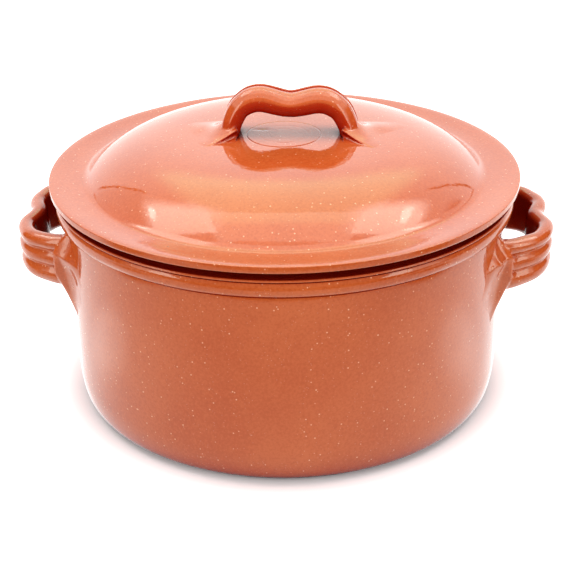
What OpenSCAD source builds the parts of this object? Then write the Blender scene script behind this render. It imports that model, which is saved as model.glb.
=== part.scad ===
// Cazuela: a glazed earthenware casserole with a domed lid.
// The pot and the lid are two fired pieces. Each was thrown on a wheel, and three-ribbed straps of
// clay were bent into waves and luted on as handles, so a handle is one piece with what carries it.
// Origin: middle of the flat base. X runs from handle to handle, Z is up. Millimetres.

/* [Pot] */
// Outside diameter of the wall, just above the curve of the foot
wall_d = 244; // [210:1:290]
// Height of the rim that the lid sits on
pot_h = 126.5; // [115:0.5:170]
// How much the wall's radius grows from the foot to the collar
wall_flare = 1.5; // [0:0.25:6]
// Thickness of the wall
wall_t = 7.5; // [6:0.25:10]
// Thickness of the floor
floor_t = 8; // [6:0.5:12]
// Height of the curve that turns the wall in to the foot
foot_h = 21; // [14:1:32]
// How far that curve turns in
foot_in = 4; // [2:0.5:8]
// Height of the cut edge between the foot and the flat base
toe_h = 3; // [1.5:0.5:5]
// How far the cut edge turns in
toe_in = 3.5; // [1.5:0.5:6]
// Radius of the round corner between wall and floor, inside
inner_round = 16; // [8:1:24]

/* [Collar] */
// Height of the band round the mouth, with its bead
collar_h = 9.4; // [7:0.2:13]
// How far the band stands out from the wall
collar_out = 4; // [2:0.25:6]
// Height of the narrow bead on top of the band
bead_h = 1.4; // [1:0.1:2.5]
// Depth of the groove under the bead and of the one under the band
groove_t = 0.6; // [0.3:0.1:1]
// Height of the hollow shoulder from the bead up to the rim, which leaves a gap under the lid's edge
shoulder_h = 4.4; // [3:0.1:6]
// Width of the flat ring on the rim that carries the lid
seat_w = 3; // [2:0.5:5]
// Radius of the inner edge of the rim
lip_round = 1.8; // [0.8:0.2:2.5]

/* [Lid] */
// How far the lid stands out past the collar
lid_overhang = 2.5; // [0:0.25:4]
// Thickness of the flat flange round the lid
flange_t = 4; // [3.5:0.25:6]
// Width of that flange, from the lid's edge to the foot of the dome
flange_w = 20; // [17:0.5:24]
// How far the flange dips from its edge to the foot of the dome
flange_dish = 1.3; // [0:0.1:1.6]
// Height of the dome above its foot
dome_rise = 20; // [14:0.5:36]
// Fullness of the dome's shoulders, as the power in its curve
dome_power = 5.4; // [2.4:0.1:6]
// Thickness of the dome
dome_t = 6; // [5:0.25:8]
// Height of the ring under the lid that keeps it on the pot
ring_h = 7; // [4:0.5:12]
// Thickness of that ring
ring_t = 5; // [4:0.5:7]
// Gap between the ring and the inside of the mouth
ring_gap = 2.5; // [1:0.25:4]
// Radius of the throwing mark on the crown
mark_r = 21.5; // [18:0.5:24]
// Depth of that mark
mark_t = 0.4; // [0.2:0.1:0.8]

/* [Side handles] */
// Width of the ribbed strap
side_w = 27.5; // [22:0.5:30]
// Thickness of the strap over its ribs
side_t = 9.6; // [8:0.2:12]
// Depth of the grooves between the ribs
side_groove = 1.9; // [0.4:0.1:2.4]
// How far the two grooves lie above the middle of the strap, which makes the lowest rib the tallest
side_rib_shift = 1; // [0:0.1:1.5]
// Distance from the rim down to the middle of the strap
side_drop = 36; // [32:0.5:40]
// How much lower the right handle was put on than the left one
side_uneven = 2.5; // [0:0.5:4]
// How much higher the outer part of the right handle sits than its ends
side_tip = 2.2; // [0:0.2:3]
// How much higher the far end of the left handle sits than its near end
side_lean = 1.5; // [0:0.5:4]
// How far the middle line of the strap stands out from the wall
side_reach = 22.5; // [18:0.5:30]
// Distance between the two ends of the strap, at the wall
side_span = 83; // [76:1:100]
// Distance between the two humps of the wave
side_humps = 32; // [26:1:36]
// Depth of the dip between the humps
side_dip = 3.5; // [1:0.5:6]
// How much wider the strap is at its ends
side_flare = 1.26; // [1:0.02:1.5]
// Thickness of the clay smeared over each end
side_smear = 10; // [5:0.5:12]
// Length of the smear below the strap
side_tail = 27; // [15:1:40]

/* [Lid handle] */
// Width of the ribbed strap
grip_w = 20; // [16:0.5:24]
// Thickness of the strap over its ribs
grip_t = 12.2; // [9:0.2:14]
// How many times thicker the strap is at its humps than at its dip
grip_swell = 1.08; // [1:0.02:1.24]
// Depth of the grooves between the ribs
grip_groove = 1.2; // [0.4:0.1:2]
// Height of the humps' middle line above the crown
grip_rise = 19.6; // [17:0.2:28]
// Distance between the two legs of the strap
grip_span = 66; // [60:1:80]
// Distance between the two humps of the wave
grip_humps = 33.5; // [28:0.5:38]
// Depth of the dip between the humps
grip_dip = 2.8; // [1:0.1:6]
// How much one hump stands higher than the other
grip_uneven = 0.8; // [0:0.1:1.5]
// How much wider the strap is at its ends
grip_flare = 1.1; // [1:0.02:1.3]
// How far the handle, put on by eye, sits to one side of the lid's centre
grip_shift = 3.5; // [0:0.5:5]
// How far it sits behind the lid's centre
grip_back = 2.5; // [0:0.5:5]
// Thickness of the clay smeared over each leg
grip_smear = 7; // [3:0.5:9]
// Length of the smear outside each leg
grip_tail = 16; // [8:1:20]

/* [Hidden] */
clay = "#C9663F";
$fn = 144;
arc_steps = 8;

wall_r = wall_d / 2;
base_r = wall_r - foot_in - toe_in;
collar_top = pot_h - shoulder_h;
collar_bottom = collar_top - collar_h;
neck_r = wall_r + wall_flare;
collar_r = neck_r + collar_out;
mouth_r = neck_r - wall_t;

seat_z = pot_h;
lid_r = collar_r + lid_overhang;
flange_top = seat_z + flange_t;
dome_r = lid_r - flange_w;
dome_foot = flange_top - flange_dish;
crown_z = dome_foot + dome_rise;
ring_r = mouth_r - ring_gap;

// Points of an arc round a centre, from one angle to another
function arc(cx, cy, r, from, to, n = arc_steps) =
    [for (i = [0:n]) let (a = from + (to - from) * i / n) [cx + r * cos(a), cy + r * sin(a)]];

// Points of a quarter of an ellipse, from one angle to another
function oval(cx, cy, rx, ry, from, to, n = arc_steps) =
    [for (i = [0:n]) let (a = from + (to - from) * i / n) [cx + rx * cos(a), cy + ry * sin(a)]];

// Outside radius of the pot's wall at a height
function wall_at(z) = let (s = max(0, min(1, (z - foot_h) / (collar_bottom - foot_h))))
    wall_r + wall_flare * s * s;

// Height of the top of the dome at a distance from its axis
function dome_at(r) = dome_foot + dome_rise * (1 - pow(min(1, r / dome_r), dome_power));

// Unit normal of the dome's section there, away from the inside
function dome_normal(r) =
    let (slope = dome_rise * dome_power / dome_r * pow(r / dome_r, dome_power - 1), n = norm([slope, 1]))
    [slope / n, 1 / n];

// Section of the pot: foot, wall, collar with its bead, rim, and the inside
wall_steps = 6;
band_r = collar_r - groove_t;
cove_r = collar_r - bead_h / 2;
seat_r = mouth_r + lip_round + seat_w;
inner_foot_r = wall_r - wall_t;
pot_section = concat(
    [[0, 0], [base_r, 0]],
    oval(wall_r - foot_in, foot_h, foot_in, foot_h - toe_h, -90, 0),
    [for (i = [1:wall_steps])
        let (z = foot_h + (collar_bottom - foot_h) * i / wall_steps - (i == wall_steps ? groove_t : 0))
        [wall_at(z) - (i == wall_steps ? groove_t : 0), z]],
    oval(band_r, (collar_bottom + collar_top - bead_h - groove_t) / 2, groove_t,
        (collar_top - bead_h - groove_t - collar_bottom) / 2, -90, 90),
    arc(cove_r, collar_top - bead_h / 2, bead_h / 2, -90, 60, 5),
    oval(cove_r, pot_h, cove_r - seat_r, shoulder_h, 270, 180),
    arc(mouth_r + lip_round, pot_h - lip_round, lip_round, 90, 180, 4),
    [[inner_foot_r, foot_h + inner_round]],
    arc(inner_foot_r - inner_round, floor_t + inner_round, inner_round, 0, -90),
    [[0, floor_t]]
);

// Section of the lid: ring, flange with a round edge, dome, and the hollow under it
dome_steps = 14;
edge_round = flange_t / 2 - 0.2;
hollow_r = min(dome_r - dome_t, ring_r - ring_t);
function dome_pt(i) = let (r = dome_r * sin(90 * i / dome_steps)) [r, dome_at(r)];
function hollow_pt(i) =
    let (r = hollow_r * sin(90 * i / dome_steps)) [r, dome_at(r) - dome_t / dome_normal(r)[1]];
lid_section = concat(
    [[ring_r - ring_t, seat_z - ring_h], [ring_r - 1, seat_z - ring_h], [ring_r, seat_z - ring_h + 1]],
    [[ring_r, seat_z]],
    arc(lid_r - edge_round, seat_z + edge_round, edge_round, -90, 0, 4),
    arc(lid_r - edge_round, flange_top - edge_round, edge_round, 0, 90, 4),
    [for (i = [dome_steps:-1:0]) if (dome_pt(i)[0] > mark_r + 1.5) dome_pt(i)],
    [for (out = [1, 0, -1]) [mark_r + out, dome_at(mark_r + out) - (out == 0 ? mark_t : 0)]],
    [for (i = [dome_steps:-1:0]) if (dome_pt(i)[0] < mark_r - 1.5) dome_pt(i)],
    [for (i = [0:dome_steps]) hollow_pt(i)]
);

// Section of a strap: three ribs on the outer side, round edges and a plain inner side.
// The edges are round over a share of the half width, and the grooves lie at a share of it too
edge_steps = 4;
rib_steps = 3;
function half_section(w, t, groove, edge, crease) = concat(
    [for (j = [0:edge_steps]) let (a = 90 * j / edge_steps)
        [-w / 2 * (1 - edge + edge * cos(a)), t / 2 * sin(a)]],
    [for (j = [1:rib_steps]) let (s = j / rib_steps)
        [-w / 2 * (1 - edge + (crease + edge - 1) * s), t / 2 - groove * s * s]],
    [for (j = [1:rib_steps]) let (a = 90 * j / rib_steps)
        [-w / 2 * crease * cos(a), t / 2 - groove * (1 - sin(a))]]
);
function inner_half(w, t, edge) =
    [for (j = [edge_steps - 1:-1:1]) let (a = 90 * j / edge_steps)
        [-w / 2 * (1 - edge + edge * cos(a)), -t / 2 * sin(a)]];
function mirrored(points) = [for (i = [len(points) - 1:-1:0]) [-points[i][0], points[i][1]]];
function strap_section(w, t, groove, edge, crease) =
    let (h = half_section(w, t, groove, edge, crease), r = mirrored(h), low = inner_half(w, t, edge))
    concat(h, [for (i = [1:len(r) - 1]) r[i]],
        mirrored(low), [[w / 2 * (1 - edge), -t / 2], [-w / 2 * (1 - edge), -t / 2]], low);

// Middle line of a strap in its own plane, x along it and z away from what carries it: the dip,
// a hump and the leg on one side, as knots of a smooth curve. The shoulder and the leg lie at shares
// of the way out from the hump, and at shares of the reach
shoulder_out = 0.29;
shoulder_up = 0.80;
leg_out = 0.435;
leg_up = 0.43;
root_up = 0.06;
splay = 0.3;
function knots(span, humps, dip, reach, sink) = [
    [-humps / 2, reach],
    [0, reach - dip],
    [humps / 2, reach],
    [humps / 2 + (span - humps) * shoulder_out, reach * shoulder_up],
    [humps / 2 + (span - humps) * leg_out, reach * leg_up],
    [span / 2, reach * root_up],
    [span / 2 + sink * splay, -sink],
    [span / 2 + sink * 2 * splay, -2 * sink]
];

// Point of the curve through four knots, at a share of the way from the second to the third
function between(a, b, c, d, s) =
    0.5 * (2 * b + (c - a) * s + (2 * a - 5 * b + 4 * c - d) * s * s + (3 * b - a - 3 * c + d) * s * s * s);
knot_steps = 4;
function half_line(k) = [for (i = [1:len(k) - 3]) for (j = [0:knot_steps - 1])
    between(k[i - 1], k[i], k[i + 1], k[i + 2], j / knot_steps)];
function whole_line(k) = let (h = half_line(k), n = len(h))
    concat([for (i = [n - 1:-1:1]) [-h[i][0], h[i][1]]], h);

// The section with its grooves moved sideways, and its edges left where they are
function shifted(section, w, by) = [for (p = section) [p[0] + by * (1 - pow(2 * p[0] / w, 2)), p[1]]];

// One strap, swept along its middle line, wider and thinner towards both ends, thicker at its humps.
// It rises across its plane with tip, from its ends outward, and with lean, from end to end
hump_share = 2.4;
module strap(line, section, flare, thin, swell, tip = 0, lean = 0) {
    n = len(line);
    m = len(section);
    rings = [for (i = [0:n - 1])
        let (d = line[min(n - 1, i + 1)] - line[max(0, i - 1)], u = d / norm(d), out = [-u[1], u[0]],
            e = abs(2 * i / (n - 1) - 1), w = 1 + (flare - 1) * pow(e, 3),
            t = 1 - (1 - thin) * e * e + (swell - 1) * sin(180 * min(1, hump_share * e)))
        for (p = section)
            let (q = line[i] + out * p[1] * t) [q[0], p[0] * w + q[1] * tip + q[0] * lean, q[1]]];
    sides = [for (i = [0:n - 2]) for (j = [0:m - 1]) let (a = i * m, b = (i + 1) * m, k = (j + 1) % m)
        each [[a + j, b + k, b + j], [a + j, a + k, b + k]]];
    polyhedron(rings, concat(sides, [[for (j = [m - 1:-1:0]) j]], [[for (j = [0:m - 1]) (n - 1) * m + j]]));
}

// Closed skin over a grid of outer points and the grid of inner points behind it
module skin(outer, inner, rows, cols) {
    count = rows * cols;
    face = [for (i = [0:rows - 2]) for (j = [0:cols - 2]) let (a = i * cols + j)
        each [[a, a + 1, a + cols + 1], [a, a + cols + 1, a + cols]]];
    back = [for (f = face) [f[2] + count, f[1] + count, f[0] + count]];
    loop = concat([for (j = [0:cols - 2]) j], [for (i = [0:rows - 2]) i * cols + cols - 1],
        [for (j = [cols - 1:-1:1]) (rows - 1) * cols + j], [for (i = [rows - 1:-1:1]) i * cols]);
    rim = [for (i = [0:len(loop) - 1]) let (a = loop[i], b = loop[(i + 1) % len(loop)])
        each [[b, a, a + count], [b, a + count, b + count]]];
    polyhedron(concat(outer, inner), concat(face, back, rim));
}

// Clay smeared from one end of a side handle over the wall, with a tail that runs down
smear_rows = 9;
smear_cols = 11;
smear_sunk = 1.2;
smear_back = 2;
side_smear_in = 0.6;
side_smear_out = 1.7;
side_smear_crest = 0.55;
side_smear_fall = 14;
module side_smear_pad(middle) {
    top = middle + side_w / 2 * side_flare - 1;
    low = middle - side_w / 2 * side_flare - side_tail;
    from = asin((side_span / 2 - side_t * side_smear_in) / wall_r);
    to = asin((side_span / 2 + side_t * side_smear_out) / wall_r);
    function along(s) = sin(180 * pow(s, side_smear_crest));
    function up(t) = t < side_smear_crest ? pow(t / side_smear_crest, 1.7)
        : sqrt(1 - pow((t - side_smear_crest) / (1 - side_smear_crest), 3));
    function lift(s, t) = side_smear * along(s) * up(t);
    function place(i, j, in) =
        let (s = i / (smear_rows - 1), t = sin(90 * j / (smear_cols - 1)), a = from + (to - from) * s,
            z = low + (top - side_smear_fall * s * s - low) * t, h = lift(s, t),
            r = wall_at(z) - smear_sunk + (in ? -smear_back : h > 0 ? h + smear_sunk / 2 : 0))
        [r * cos(a), r * sin(a), z];
    skin([for (i = [0:smear_rows - 1]) for (j = [0:smear_cols - 1]) place(i, j, false)],
        [for (i = [0:smear_rows - 1]) for (j = [0:smear_cols - 1]) place(i, j, true)],
        smear_rows, smear_cols);
}

// Clay smeared from one leg of the lid's handle out over the dome
grip_smear_in = 0.2;
grip_smear_widen = 0.6;
grip_smear_sweep = 2;
module grip_smear_pad() {
    from = grip_span / 2 - grip_t * grip_smear_in;
    to = grip_span / 2 + grip_t / 2 + grip_tail;
    half = grip_w / 2;
    function lift(s, t) = grip_smear * pow(1 - s, 1.6) * pow(sin(180 * t), 0.5);
    function place(i, j, in) =
        let (s = i / (smear_rows - 1), t = j / (smear_cols - 1), x = from + (to - from) * s + grip_shift,
            y = half * (1 + grip_smear_widen * s) * (2 * t - 1) + grip_back - grip_smear_sweep * s,
            z = dome_at(norm([x, y])) - smear_sunk)
        [x, y, z + (in ? -smear_back : lift(s, t))];
    skin([for (i = [0:smear_rows - 1]) for (j = [0:smear_cols - 1]) place(i, j, false)],
        [for (i = [0:smear_rows - 1]) for (j = [0:smear_cols - 1]) place(i, j, true)],
        smear_rows, smear_cols);
}

root_sink = 0.35;
side_edge = 0.36;
side_crease = 0.3;
module side_handle(middle, tip, lean) {
    end_x = sqrt(wall_r * wall_r - side_span * side_span / 4);
    reach = side_reach + wall_r - end_x;
    line = whole_line(knots(side_span, side_humps, side_dip, reach, wall_t * root_sink));
    even = strap_section(side_w, side_t, side_groove, side_edge, side_crease);
    section = shifted(even, side_w, side_rib_shift);
    translate([end_x, 0, middle])
        rotate([90, 0, 90])
            strap(line, section, side_flare, 1, 1, tip / reach, lean / side_span);
    for (side = [0, 1])
        mirror([0, side, 0])
            side_smear_pad(middle + (0.5 - side) * lean);
}

grip_edge = 0.6;
grip_crease = 0.26;
grip_thin = 0.8;
module lid_handle() {
    level = whole_line(knots(grip_span, grip_humps, grip_dip, grip_rise, dome_t * root_sink));
    line = [for (p = level) [p[0], p[1] - grip_uneven * p[0] / grip_humps]];
    section = strap_section(grip_w, grip_t, grip_groove, grip_edge, grip_crease);
    translate([grip_shift, grip_back, crown_z])
        strap(line, section, grip_flare, grip_thin, grip_swell);
    for (side = [0, 1])
        translate([side * 2 * grip_shift, 0, 0])
            mirror([side, 0, 0])
                grip_smear_pad();
}

module pot() {
    color(clay) {
        rotate_extrude()
            polygon(pot_section);
        for (turn = [0, 1])
            rotate([0, 0, 180 * turn])
                side_handle(pot_h - side_drop + side_uneven * (turn - 0.5),
                    side_tip * (1 - turn), -side_lean * turn);
    }
}

module lid() {
    color(clay) {
        rotate_extrude()
            polygon(lid_section);
        lid_handle();
    }
}

pot();
lid();
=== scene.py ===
import math

import bmesh
import bpy
from bpy.props import FloatProperty, FloatVectorProperty, IntProperty, PointerProperty
from mathutils import Matrix, Vector, noise


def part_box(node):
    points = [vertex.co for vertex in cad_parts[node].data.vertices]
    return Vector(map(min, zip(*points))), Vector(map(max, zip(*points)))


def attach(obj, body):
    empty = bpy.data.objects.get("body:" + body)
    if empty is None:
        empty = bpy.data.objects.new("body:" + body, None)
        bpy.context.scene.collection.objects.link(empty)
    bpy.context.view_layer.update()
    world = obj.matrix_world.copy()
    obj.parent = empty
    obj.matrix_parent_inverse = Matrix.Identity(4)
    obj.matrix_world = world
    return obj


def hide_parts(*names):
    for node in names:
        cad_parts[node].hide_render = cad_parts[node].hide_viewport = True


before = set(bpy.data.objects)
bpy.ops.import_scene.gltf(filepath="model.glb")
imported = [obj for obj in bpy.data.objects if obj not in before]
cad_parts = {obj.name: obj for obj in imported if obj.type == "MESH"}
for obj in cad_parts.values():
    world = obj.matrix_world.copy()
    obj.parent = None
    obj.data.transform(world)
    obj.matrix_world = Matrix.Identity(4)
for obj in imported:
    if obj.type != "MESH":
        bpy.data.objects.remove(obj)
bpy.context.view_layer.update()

bl_info = {
    "name": "Cazuela",
    "version": (1, 0, 0),
    "blender": (4, 5, 0),
    "location": "View3D > Sidebar > Cazuela",
    "description": "Glazed earthenware casserole: thrown pot and domed lid with ribbed strap handles",
    "category": "Object",
}

POT_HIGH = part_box("pot")[1]
LID_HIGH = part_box("lid")[1]
MM = 0.001


def length(name, millimetres, words):
    """A size in metres whose default is written in millimetres."""
    return FloatProperty(name=name, description=words, default=millimetres * MM,
                         unit="LENGTH", subtype="DISTANCE")


def plain(name, value, words):
    """A number with no unit."""
    return FloatProperty(name=name, description=words, default=value)


def colour(name, hexadecimal, words):
    """A colour whose default is written as sRGB."""
    return FloatVectorProperty(name=name, description=words, default=linear(hexadecimal),
                               subtype="COLOR", size=4, min=0, max=1)


def linear(hexadecimal):
    """Linear red, green, blue and alpha of an sRGB colour written as six hexadecimal digits."""
    parts = [int(hexadecimal[i:i + 2], 16) / 255 for i in (0, 2, 4)]
    return [c / 12.92 if c <= 0.04045 else ((c + 0.055) / 1.055) ** 2.4 for c in parts] + [1.0]


class CazuelaPotSizes(bpy.types.PropertyGroup):
    """The thrown pot: foot, wall, collar, rim and inside."""
    wall_r: length("Wall radius", 122, "Outside radius of the wall just above the foot's curve")
    wall_flare: length("Wall flare", 1.5, "How much the wall's radius grows up to the collar")
    wall_t: length("Wall thickness", 7.5, "Thickness of the wall")
    floor_t: length("Floor thickness", 8, "Thickness of the floor")
    foot_h: length("Foot height", 21, "Height of the curve that turns the wall in to the foot")
    foot_in: length("Foot inset", 4, "How far that curve turns in")
    toe_h: length("Toe height", 3, "Height of the cut edge between the foot and the flat base")
    toe_in: length("Toe inset", 3.5, "How far the cut edge turns in")
    inner_round: length("Inner corner", 16, "Radius of the corner between wall and floor, inside")
    collar_h: length("Collar height", 9.4, "Height of the band round the mouth, with its bead")
    collar_out: length("Collar depth", 4, "How far the band stands out from the wall")
    bead_h: length("Bead", 1.4, "Height of the narrow bead on top of the band")
    groove_t: length("Collar grooves", 0.42, "Depth of the grooves under the bead and under the band")
    shoulder_h: length("Shoulder", 4.4, "Height of the hollow shoulder from the bead up to the rim")
    seat_w: length("Seat", 3, "Width of the flat ring on the rim that carries the lid")
    lip_round: length("Lip", 1.8, "Radius of the inner edge of the rim")
    turns: IntProperty(name="Steps round", default=288,
                       description="Steps of the turned bodies round their axis")


class CazuelaLidSizes(bpy.types.PropertyGroup):
    """The thrown lid: flange, dome and hollow."""
    flange_t: length("Flange thickness", 4, "Thickness of the flat flange round the lid")
    flange_w: length("Flange width", 20, "Width of the flange, from the lid's edge to the foot of the dome")
    flange_dish: length("Flange dip", 1.3, "How far the flange dips from its edge to the foot of the dome")
    edge_round: length("Edge rounding", 1.3, "Radius of the flange's lower edge")
    dome_rise: length("Dome height", 20, "Height of the dome above its foot")
    dome_power: plain("Dome fullness", 5.4, "Power in the dome's curve: more gives fuller shoulders")
    dome_t: length("Dome thickness", 6, "Thickness of the dome")
    foot_round: length("Dome foot rounding", 5, "Width of the hollow curve between flange and dome")
    ring_h: length("Ring height", 7, "Height of the ring under the lid")
    ring_t: length("Ring thickness", 5, "Thickness of that ring")
    ring_gap: length("Ring gap", 2.5, "Gap between the ring and the inside of the mouth")
    mark_r: length("Throwing mark", 20.5, "Radius of the throwing mark on the crown")
    mark_t: length("Mark depth", 0.2, "Depth of that mark")


class CazuelaSideSizes(bpy.types.PropertyGroup):
    """The two side handles."""
    width: length("Width", 27.5, "Width of the ribbed strap")
    thick: length("Thickness", 9.6, "Thickness of the strap over its ribs")
    groove: length("Grooves", 2.2, "Depth of the grooves between the ribs")
    rib_shift: length("Rib shift", 1, "How far the two grooves lie above the middle of the strap")
    drop: length("Drop", 36, "Distance from the rim down to the middle of the strap")
    uneven: length("Uneven", 2.5, "How much lower the right handle was put on than the left one")
    tip: length("Tip", 2.2, "How much higher the right handle's outer part sits than its ends")
    lean: length("Lean", 1.5, "How much higher the left handle's far end sits than its near end")
    reach: length("Reach", 22.5, "How far the strap's middle line stands out from the wall")
    span: length("Span", 83, "Distance between the strap's two ends, at the wall")
    humps: length("Humps", 32, "Distance between the two humps of the wave")
    dip: length("Dip", 3.5, "Depth of the dip between the humps")
    flare: plain("Flare", 1.26, "How many times wider the strap is at its ends")
    smear: length("Smear", 10, "Thickness of the clay smeared over each end")
    tail: length("Tail", 27, "Length of the smear below the strap")


class CazuelaGripSizes(bpy.types.PropertyGroup):
    """The handle on the lid."""
    width: length("Width", 20, "Width of the ribbed strap")
    thick: length("Thickness", 12.2, "Thickness of the strap over its ribs")
    groove: length("Grooves", 2.6, "Depth of the grooves between the ribs")
    swell: plain("Swell", 1.08, "How many times thicker the strap is at its humps than at its dip")
    rise: length("Rise", 19.6, "Height of the humps' middle line above the crown")
    span: length("Span", 66, "Distance between the strap's two legs")
    humps: length("Humps", 33.5, "Distance between the two humps of the wave")
    dip: length("Dip", 2.8, "Depth of the dip between the humps")
    uneven: length("Uneven", 0.8, "How much one hump stands higher than the other")
    flare: plain("Flare", 1.1, "How many times wider the strap is at its ends")
    shift: length("Shift", 3.5, "How far the handle sits to one side of the lid's centre")
    back: length("Set back", 2.5, "How far it sits behind the lid's centre")
    smear: length("Smear", 7, "Thickness of the clay smeared over each leg")


class CazuelaFinish(bpy.types.PropertyGroup):
    """Colours and grain of the glazed clay, and the reds painted into it as shade."""
    clay: colour("Clay", "CD5C28", "Red earthenware seen through the clear glaze")
    clay_deep: colour("Deep clay", "BE4B1E", "The same clay where it fired darker")
    clay_light: colour("Pale clay", "D86B38", "The same clay where it fired lighter")
    speck: colour("Speck", "FFC49A", "Pale grains of temper under the glaze")
    pit: colour("Pit", "7A2A12", "Small dark iron spots")
    # Painted shade: the next two reds are laid into the clay where other clay hides the sky, standing in for
    # the shade in gaps, creases and under edges
    pool: colour("Pooled glaze", "B41C03", "Red of the glaze where it pools under edges")
    deep_shade_red: colour("Recess", "500400", "Its deep red in folds and gaps")
    gloss: plain("Glaze roughness", 0.045, "Roughness of the clear glaze")


def pot_sizes():
    return bpy.context.scene.cazuela_pot


def lid_sizes():
    return bpy.context.scene.cazuela_lid


def side_sizes():
    return bpy.context.scene.cazuela_side


def grip_sizes():
    return bpy.context.scene.cazuela_grip


# Sections

def arc(x, z, rx, rz, start, end, steps):
    """Points of a stretch of an ellipse, with angles in degrees."""
    angles = [math.radians(start + (end - start) * i / steps) for i in range(steps + 1)]
    return [(x + rx * math.cos(a), z + rz * math.sin(a)) for a in angles]


def straight(start, end, steps):
    """Points between two points, without them."""
    return [tuple(start[k] + (end[k] - start[k]) * i / steps for k in (0, 1)) for i in range(1, steps)]


def collar_top():
    return POT_HIGH[2] - pot_sizes().shoulder_h


def collar_bottom():
    return collar_top() - pot_sizes().collar_h


def neck_r():
    return pot_sizes().wall_r + pot_sizes().wall_flare


def wall_at(z):
    """Outside radius of the pot's wall at a height."""
    p = pot_sizes()
    share = max(0.0, min(1.0, (z - p.foot_h) / (collar_bottom() - p.foot_h)))
    return p.wall_r + p.wall_flare * share * share


def pot_outline():
    """Section of the pot from the middle of its base, up outside and down inside."""
    p = pot_sizes()
    rim_z = POT_HIGH[2]
    toe = (p.wall_r - p.foot_in, p.toe_h)
    base_r = p.wall_r - p.foot_in - p.toe_in
    base_edge = 0.8 * MM
    collar_r = neck_r() + p.collar_out
    mouth_r = neck_r() - p.wall_t
    band_low, band_high = collar_bottom(), collar_top() - p.bead_h - p.groove_t
    band_bulge = 1.6 * MM
    neck_groove_w = 1.6 * p.groove_t
    neck_groove_h = 1.2 * MM
    neck_groove_z = band_low - 0.9 * MM
    bead_r = p.bead_h / 2
    bead_groove_w = 0.45 * MM
    shoulder_r = collar_r - bead_r - 0.3 * MM
    seat_r = mouth_r + p.lip_round + p.seat_w
    inner_r = p.wall_r - p.wall_t
    corner = p.inner_round

    # Flat base, its worn edge, the cut edge and the foot's curve
    points = [(0, 0)] + straight((0, 0), (base_r, 0), 12) + [(base_r - base_edge / 2, 0)]
    points += arc(base_r - base_edge / 2, base_edge, base_edge, base_edge, -80, -35, 4)
    points += straight((base_r + base_edge / 2, 0.6 * MM), toe, 3)
    points += arc(toe[0], p.foot_h, p.foot_in, p.foot_h - p.toe_h, -88, 0, 24)

    # Wall, up to the groove under the band
    rows = 24
    for i in range(1, rows + 1):
        z = p.foot_h + (band_low - 2.1 * MM - p.foot_h) * i / rows
        points.append((wall_at(z), z))

    # Groove, band, groove, bead and hollow shoulder
    points += arc(neck_r() + 0.1 * MM, neck_groove_z, neck_groove_w, neck_groove_h, 255, 110, 10)
    points += arc(collar_r - band_bulge, (band_low + band_high) / 2, band_bulge, (band_high - band_low) / 2,
                  -82, 84, 22)
    points += arc(collar_r - 2 * bead_groove_w, band_high + p.groove_t / 2, bead_groove_w, p.groove_t / 2,
                  250, 110, 6)
    points += arc(collar_r - bead_r, collar_top() - bead_r, bead_r, bead_r, -75, 60, 8)
    points += arc(shoulder_r, rim_z, shoulder_r - seat_r, p.shoulder_h, 270, 184, 12)

    # Seat, lip and inside
    points += straight((seat_r, rim_z), (mouth_r + p.lip_round, rim_z), 3)
    points += arc(mouth_r + p.lip_round, rim_z - p.lip_round, p.lip_round, p.lip_round, 90, 180, 8)
    points += straight((mouth_r, rim_z - p.lip_round), (inner_r, p.foot_h + corner), 16)
    points += arc(inner_r - corner, p.floor_t + corner, corner, corner, 0, -90, 16)
    points += straight((inner_r - corner, p.floor_t), (0, p.floor_t), 12) + [(0, p.floor_t)]
    return points


def dome_r():
    return LID_HIGH[1] - lid_sizes().flange_w


def dome_foot():
    return POT_HIGH[2] + lid_sizes().flange_t - lid_sizes().flange_dish


def dome_at(r):
    """Height of the top of the dome at a distance from its axis."""
    s = lid_sizes()
    return dome_foot() + s.dome_rise * (1 - min(1.0, r / dome_r()) ** s.dome_power)


def dome_slope(r):
    s = lid_sizes()
    return s.dome_rise * s.dome_power / dome_r() * (r / dome_r()) ** (s.dome_power - 1)


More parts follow.
